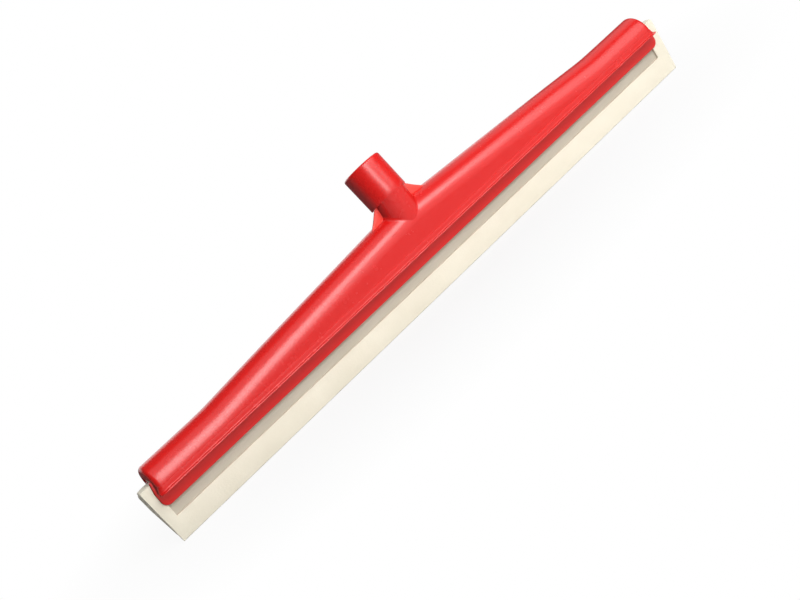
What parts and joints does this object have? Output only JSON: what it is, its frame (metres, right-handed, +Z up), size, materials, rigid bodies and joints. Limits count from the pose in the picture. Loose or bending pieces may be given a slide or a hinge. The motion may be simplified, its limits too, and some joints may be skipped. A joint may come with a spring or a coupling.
{
  "type": "squeegee head",
  "caption": "Long arched squeegee head with a leaning handle socket, a flared lip and a slide-in cassette that clamps a double foam rubber blade.",
  "frame": {"origin": "on the axis of the handle socket's bore, where the thread starts just below the mouth's chamfer", "axes": "+X along the blades towards the end that the cassette slides out of, -Y towards the front lip, +Z up from the wiping edge to the socket; the socket's axis leans 19 degrees from +Z towards +Y"},
  "size_m": [0.6058, 0.0506, 0.1246],
  "materials": {
    "head_red": "satin, bright red moulded plastic",
    "rail_red": "satin",
    "jaw_red": "satin",
    "foam_cream": "soft matt cellular rubber, cream",
    "spring_steel": "rolled strip",
    "pin_steel": "plain"
  },
  "bodies": {
    "head": {"head_frame": "head_red", "detent_spring": "spring_steel"},
    "cassette": {"core_rail": "rail_red", "front_jaw": "jaw_red", "rear_jaw": "jaw_red", "front_blade": "foam_cream", "rear_blade": "foam_cream", "clamp_pins": "pin_steel"}
  },
  "joints": [
    {"name": "cassette_slide", "type": "slide", "parent": "head", "child": "cassette", "axis": [1, 0, 0], "range_m": [0, 0.58], "deforming": ["detent_spring"]}
  ]
}
